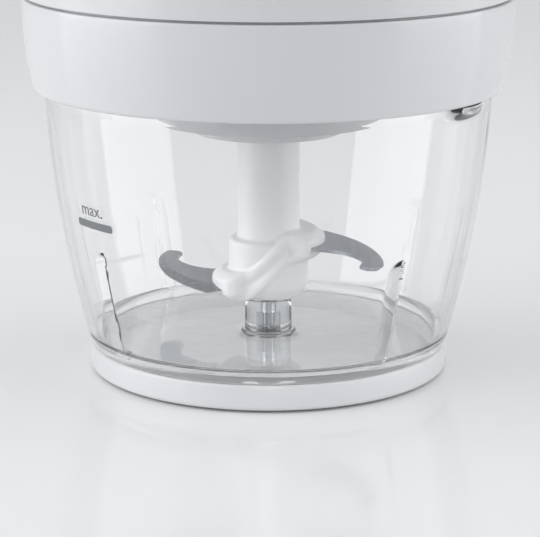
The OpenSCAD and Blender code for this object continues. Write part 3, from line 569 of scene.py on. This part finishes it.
def cutSocket(piece, s):
    # a hexagonal socket in the top of the tube, and a plain bore from below
    tool = bmesh.new()
    bmesh.ops.create_cone(tool, cap_ends=True, segments=6, radius1=s["socketR"] * mm,
                          radius2=s["socketR"] * mm, depth=s["toolLong"] * mm)
    bmesh.ops.translate(tool, verts=tool.verts, vec=(0, 0, (s["socketZ"] + s["toolLong"] / 2) * mm))
    low = bmesh.ops.create_cone(tool, cap_ends=True, segments=32, radius1=s["boreR"] * mm,
                                radius2=s["boreR"] * mm, depth=s["toolLong"] * mm)["verts"]
    bmesh.ops.translate(tool, verts=low, vec=(0, 0, (s["bottom"] + s["boreDeep"]) * mm))
    cutAway(piece, tool)


makeHub(hubSize)

bladeSize = {"thick": 1.0, "edge": 0.14, "grind": 0.3,
             "back": (17.6, 12.2), "nose": (33.4, -34.3), "tip": (26.5, -34.2),
             "front": (15.2, -12.9),
             "backBow": 5.1, "frontBow": 5.5, "endBow": 2.9, "rootBack": (8, 6), "rootFront": (8, -9)}
upperBlade = {"z": 38.6, "turn": 0, "scale": 0.995, "groundTop": False}
lowerBlade = {"z": 25.9, "turn": 180, "scale": 1.059, "groundTop": True}


# the ground bevel: its grinding lines running across are its own finish, and its darker colour is
# painted shade on the tilted bevel
groundBevelPaintedShade = brushedMetal("GroundBevelSteelPaintedShade", (0.24, 0.26, 0.28), 0.26, (0.1, 1, 1))


def alongLine(points, share):
    # a point part of the way along a line of points
    at = min(share, 0.99999) * (len(points) - 1)
    return points[int(at)].lerp(points[int(at) + 1], at - int(at))


def makeBlade(s, own, name, node):
    # a grid drawn out to the blade's outline: across it, from the ground edge to the square front
    edge = [Vector(p) for p in arcPoints(s["nose"], s["back"], s["backBow"], 24)][::-1]
    front = [Vector(p) for p in arcPoints(s["front"], s["tip"], -s["frontBow"], 24)]
    edge.insert(0, Vector(s["rootBack"]))
    front.insert(0, Vector(s["rootFront"]))
    bm = bmesh.new()
    bmesh.ops.create_grid(bm, x_segments=90, y_segments=20, size=0.5)
    raised = bmesh.ops.extrude_face_region(bm, geom=bm.faces[:], use_keep_orig=True)["geom"]
    for vert in (v for v in raised if isinstance(v, bmesh.types.BMVert)):
        vert.co.z = 1
    for face in bm.faces:
        middle = face.calc_center_median()
        onSide = middle.z > 0.9 if own["groundTop"] else middle.z < 0.1
        # ground bevel faces take the second material, whose darker colour is painted shade
        face.material_index = int(onSide and middle.y + 0.5 < s["grind"])
    for vert in bm.verts:
        along, across, top = vert.co.x + 0.5, vert.co.y + 0.5, vert.co.z > 0.5
        flat = alongLine(edge, along).lerp(alongLine(front, along), across) * own["scale"]
        flat.y -= s["endBow"] * (1 - abs(2 * across - 1) ** 2.6) * along ** 14
        ground = min(1, s["edge"] + (1 - s["edge"]) * across / s["grind"])
        level = s["thick"] / 2
        if top == own["groundTop"]:
            level -= (1 - ground) * s["thick"]
        level *= 1 if top else -1
        vert.co = Vector((flat.x, flat.y, own["z"] + level)) * mm
    bmesh.ops.rotate(bm, cent=(0, 0, 0), verts=bm.verts,
                     matrix=Matrix.Rotation(math.radians(own["turn"]), 3, "Z"))
    piece = finishPiece(bm, name, finish["blade_steel"], "knife", [node], sharp=10)
    piece.data.materials.append(groundBevelPaintedShade)


makeBlade(bladeSize, upperBlade, "upperBlade", "upper_blade")
makeBlade(bladeSize, lowerBlade, "lowerBlade", "lower_blade")
print("knife done")


# motor unit: lower casing with its collar, underside cover, upper casing, bezel, button

lowerSize = {"lip": 67.8, "foot": 86.9, "collar": 70.9, "seamR": 73.5, "seamZ": 114.6, "gap": 0.8,
             "bow": 0.75, "wall": 2.2, "deckZ": 99.5, "deckTop": 101.7, "mouth": 29.8,
             "tongue": 70.9, "tongueTop": 118.1}


def makeLowerCasing(s):
    outer = arcPoints((s["collar"], s["foot"] + 1.5), (s["seamR"], s["seamZ"] - 0.8), s["bow"], 24)
    inner = [(r - s["wall"], z) for r, z in outer if z < s["deckZ"] - 1]
    above = [(r - s["wall"], z) for r, z in outer if z > s["deckTop"] + 1]
    low = s["seamZ"] - s["gap"] / 2
    outline = [(s["lip"], s["foot"] + 0.4), (s["lip"] + 0.4, s["foot"])]
    outline += arcPoints((s["collar"] - 1.5, s["foot"]), (s["collar"], s["foot"] + 1.5), 0.42, 8)
    outline += outer[1:] + [(s["seamR"] - 0.12, low - 0.12), (s["seamR"] - 0.4, low)]
    outline += [(s["tongue"], low), (s["tongue"], s["tongueTop"]),
                (s["tongue"] - 1.3, s["tongueTop"])]
    outline += above[::-1] + [(s["seamR"] - s["wall"] - 0.8, s["deckTop"]),
                              (s["mouth"], s["deckTop"]), (s["mouth"], s["deckZ"]),
                              (inner[-1][0], s["deckZ"])]
    outline += inner[::-1] + [(s["collar"] - s["wall"], s["foot"] + 2.2),
                              (s["lip"], s["foot"] + 1.6)]
    spunPiece("lowerCasing", outline, finish["white_gloss"], "motor_unit",
              ["lower_casing"], 256)


makeLowerCasing(lowerSize)

coverSize = {"hole": 10.5, "bossZ": 73.1, "bossR": 22.5, "discZ": 77, "discR": 34.5,
             "flangeIn": 47.5, "flangeOut": 51.5, "flangeZ": 97.5, "top": 99.5, "inZ": 79.2}


def makeUndersideCover(s):
    outline = roundedPath([
        (s["hole"], s["inZ"] - 2), (s["hole"], s["bossZ"], 0.5), (s["bossR"], s["bossZ"], 1.0),
        (s["bossR"], s["discZ"], 0.5), (s["discR"] + 0.1, s["discZ"], 1.3),
        (s["flangeIn"], s["flangeZ"], 0.6), (s["flangeOut"], s["flangeZ"], 0.3),
        (s["flangeOut"], s["top"]), (s["flangeIn"] - 2.2, s["top"]),
        (s["discR"] - 2.2, s["inZ"], 1.0), (s["hole"], s["inZ"])])
    spunPiece("undersideCover", outline, finish["white_gloss"], "motor_unit",
              ["underside_cover"], 160)


makeUndersideCover(coverSize)

upperSize = {"foot": (73.5, 115.0), "shoulder": (58, 209), "crown": (49.9, 222), "bow": 4,
             "wall": 2.4, "mouth": 46.9, "postAt": 55.2, "postR": 4.2, "postZ": 101.7,
             "ledgeR": 47, "ledgeZ": 188.2, "glandZ": 180, "glandR": 6.0}


def makeUpperCasing(s):
    side = arcPoints(s["foot"], s["shoulder"], s["bow"], 28)
    before, corner = Vector(side[-2]), Vector(side[-1])
    chord = Vector(s["crown"]) - corner
    lean = (corner - before).angle(chord)
    cap = arcPoints(s["shoulder"], s["crown"], chord.length / 2 * math.tan(lean / 2), 12)
    outer = side + cap[1:]
    outline = [(s["foot"][0] - 0.35, s["foot"][1])] + outer[1:]
    outline += [(s["mouth"], s["crown"][1]), (s["mouth"], s["crown"][1] - s["wall"])]
    outline += [(r - s["wall"] * 0.6, z - s["wall"] * 0.8) for r, z in cap[:0:-1] if z < 221]
    outline += [(r - s["wall"], z) for r, z in side[::-1]]
    bm = bmesh.new()
    spinOutline(bm, outline, 256)
    ledgeOut = [r - s["wall"] + 0.3 for r, z in side if z > s["ledgeZ"]][0]
    spinOutline(bm, [(s["ledgeR"], s["ledgeZ"]), (ledgeOut, s["ledgeZ"]),
                     (ledgeOut, s["ledgeZ"] + 2), (s["ledgeR"], s["ledgeZ"] + 2)], 128)
    piece = finishPiece(bm, "upperCasing", finish["white_gloss"], "motor_unit",
                        ["upper_casing"])
    tool = bmesh.new()
    bmesh.ops.create_cone(tool, cap_ends=True, segments=48, radius1=s["glandR"] * mm,
                          radius2=s["glandR"] * mm, depth=30 * mm)
    bmesh.ops.rotate(tool, cent=(0, 0, 0), matrix=Matrix.Rotation(math.radians(90), 3, "X"),
                     verts=tool.verts)
    bmesh.ops.translate(tool, verts=tool.verts, vec=(0, 66 * mm, s["glandZ"] * mm))
    cutAway(piece, tool)
    posts = bmesh.new()
    for k in range(4):
        turn = math.radians(45 + 90 * k)
        tall = s["ledgeZ"] - s["postZ"]
        made = bmesh.ops.create_cone(posts, cap_ends=True, segments=32, radius1=s["postR"] * mm,
                                     radius2=s["postR"] * mm, depth=tall * mm)["verts"]
        bmesh.ops.translate(posts, verts=made, vec=Vector((
            s["postAt"] * math.cos(turn), s["postAt"] * math.sin(turn), s["postZ"] + tall / 2)) * mm)
    finishPiece(posts, "casingPosts", finish["white_gloss"], "motor_unit")


makeUpperCasing(upperSize)

bezelSize = {"in": 44.2, "out": 46.9, "low": 216.3, "seat": 222, "lip": 2.4, "rise": 1.8}


def makeBezel(s):
    top = s["seat"] + s["rise"]
    outline = roundedPath([
        (s["in"], (s["low"] + top) / 2), (s["in"], s["low"]), (s["out"], s["low"]),
        (s["out"], s["seat"]), (s["out"] + s["lip"], s["seat"]),
        (s["out"] + s["lip"], s["seat"] + 0.9, 0.5), (s["out"] + 1.2, top, 0.6),
        (s["in"], top, 0.5), (s["in"], (s["low"] + top) / 2 + 0.1)])
    spunPiece("buttonBezel", outline, finish["bezel_silver"], "motor_unit",
              ["button_bezel"], 192)


makeBezel(bezelSize)

buttonSize = {"r": 43.8, "foot": 214, "flange": 46, "flangeT": 2, "edgeZ": 232, "top": 240,
              "hubR": 5, "hubZ": 208.3, "guideOut": 15.2, "guideIn": 12.2}


def makeButton(s):
    edge, top = s["edgeZ"], s["top"]
    outline = [(s["r"] - 2.2, s["foot"]), (s["flange"], s["foot"]),
               (s["flange"], s["foot"] + s["flangeT"]), (s["r"], s["foot"] + s["flangeT"])]
    outline += arcPoints((s["r"], edge - 2), (s["r"] - 4, edge + 2.2), 1.1, 10)
    outline += arcPoints((s["r"] - 4, edge + 2.2), (0, top), 1.6, 20)[1:]
    outline += arcPoints((0, top - 2.2), (s["r"] - 4.4, edge), -1.6, 12)
    outline += [(s["r"] - 2.2, edge - 2.5)]
    bm = bmesh.new()
    spinOutline(bm, outline, 192)
    spinOutline(bm, [(0, s["hubZ"]), (s["hubR"], s["hubZ"]), (s["hubR"], top - 1.8),
                     (0, top - 1.8)], 48, closed=False)
    spinOutline(bm, [(s["guideIn"], s["foot"]), (s["guideOut"], s["foot"]),
                     (s["guideOut"], top - 2), (s["guideIn"], top - 2)], 96)
    finishPiece(bm, "pushButton", finish["light_grey"], "button", ["push_button"])


makeButton(buttonSize)

springSize = {"r": 14, "wire": 0.8, "turns": 5, "foot": 188.2, "top": 214, "keep": 0.845}


def makeSpring(s):
    rise = s["top"] - s["foot"] - 2 * s["wire"]
    bm = bmesh.new()
    bmesh.ops.create_circle(bm, cap_ends=True, segments=10, radius=s["wire"] * mm)
    bmesh.ops.rotate(bm, cent=(0, 0, 0), matrix=Matrix.Rotation(math.radians(90), 3, "X"),
                     verts=bm.verts)
    bmesh.ops.translate(bm, verts=bm.verts, vec=(s["r"] * mm, 0, (s["foot"] + s["wire"]) * mm))
    steps = s["turns"] * 36
    bmesh.ops.spin(bm, geom=bm.verts[:] + bm.edges[:] + bm.faces[:], cent=(0, 0, 0),
                   axis=(0, 0, 1), dvec=(0, 0, rise * mm / steps),
                   angle=2 * math.pi * s["turns"], steps=steps)
    piece = finishPiece(bm, "buttonSpring", finish["zinc_steel"], "motor_unit",
                        ["button_spring"], sharp=60)
    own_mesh(piece)


makeSpring(springSize)
print("motor unit done")


# floor, backdrop, light and camera

stageSize = {"floorFront": -1.2, "backdropAt": 1.6, "wide": 4.0, "bend": 0.5, "high": 2.6}


def makeStage(s):
    material, tree, shader = newMaterial("PaleGlossFloor", (0.87, 0.875, 0.88), 0.12)
    vector = objectPoint(tree)
    tintTo(tree, noiseOn(tree, vector, 3, 2), (0.86, 0.865, 0.87), (0.88, 0.885, 0.89),
           shader.inputs["Base Color"])
    bm = bmesh.new()
    line = [(s["floorFront"], 0), (s["backdropAt"] - s["bend"], 0)]
    for k in range(1, 13):
        t = math.radians(90 * k / 12)
        line.append((s["backdropAt"] - s["bend"] + s["bend"] * math.sin(t),
                     s["bend"] * (1 - math.cos(t))))
    line.append((s["backdropAt"], s["high"]))
    verts = [bm.verts.new((-s["wide"] / 2, y, z)) for y, z in line]
    edges = [bm.edges.new(pair) for pair in zip(verts, verts[1:])]
    swept = bmesh.ops.extrude_edge_only(bm, edges=edges)["geom"]
    bmesh.ops.translate(bm, verts=[v for v in swept if isinstance(v, bmesh.types.BMVert)],
                        vec=(s["wide"], 0, 0))
    for face in bm.faces:
        face.smooth = True
    mesh = bpy.data.meshes.new("stageFloor")
    bm.to_mesh(mesh)
    bm.free()
    floor = bpy.data.objects.new("stageFloor", mesh)
    bpy.context.scene.collection.objects.link(floor)
    mesh.materials.append(material)


makeStage(stageSize)

lampSize = {
    "overhead": {"place": (0, 0.1, 1.4), "aim": (0, 0, 0.1),
                 "wide": 1.6, "tall": 1.2, "power": 2.2},
    "leftBox": {"place": (-1.1, -0.2, 0.5), "aim": (0, 0, 0.1),
                 "wide": 1.3, "tall": 1.5, "power": 11.5},
    "rightBox": {"place": (1.2, -0.1, 0.5), "aim": (0, 0, 0.1),
                 "wide": 1.3, "tall": 1.5, "power": 9.5},
    "frontFill": {"place": (0.2, -1.6, 0.7), "aim": (0, 0, 0.1),
                 "wide": 1.2, "tall": 0.8, "power": 0.5},
    "baseFill": {"place": (0, -0.42, 0.02), "aim": (0, 0, 0.004),
                 "wide": 0.5, "tall": 0.02, "power": 0.012, "spread": 16}}


def makeLamps(lamps):
    for name, s in lamps.items():
        lamp = bpy.data.lights.new(name, "AREA")
        lamp.shape = "RECTANGLE"
        lamp.size, lamp.size_y = s["wide"], s["tall"]
        lamp.energy = s["power"]
        lamp.spread = math.radians(s.get("spread", 180))
        holder = bpy.data.objects.new(name, lamp)
        bpy.context.scene.collection.objects.link(holder)
        holder.location = s["place"]
        aim = Vector(s["aim"]) - Vector(s["place"])
        holder.rotation_euler = aim.to_track_quat("-Z", "Y").to_euler()


worldSize = {"color": (0.975, 0.98, 1.0, 1), "strength": 0.5}


def makeWorld(s):
    world = bpy.data.worlds.new("studio")
    world.use_nodes = True
    world.node_tree.nodes["Background"].inputs["Color"].default_value = s["color"]
    world.node_tree.nodes["Background"].inputs["Strength"].default_value = s["strength"]
    bpy.context.scene.world = world


makeLamps(lampSize)
makeWorld(worldSize)

cameraSize = {"place": (0, -0.660, 0.1911), "pitch": 13.75, "lens": 147.19, "shiftX": 0.0028}


def makeCamera(s):
    camera = bpy.data.cameras.new("camera")
    camera.lens = s["lens"]
    camera.sensor_width = 36
    camera.shift_x = s["shiftX"]
    holder = bpy.data.objects.new("camera", camera)
    bpy.context.scene.collection.objects.link(holder)
    holder.location = s["place"]
    holder.rotation_euler = (math.radians(90 - s["pitch"]), 0, 0)
    bpy.context.scene.camera = holder
    bpy.context.scene.view_settings.view_transform = "Standard"


makeCamera(cameraSize)

print("scene done")
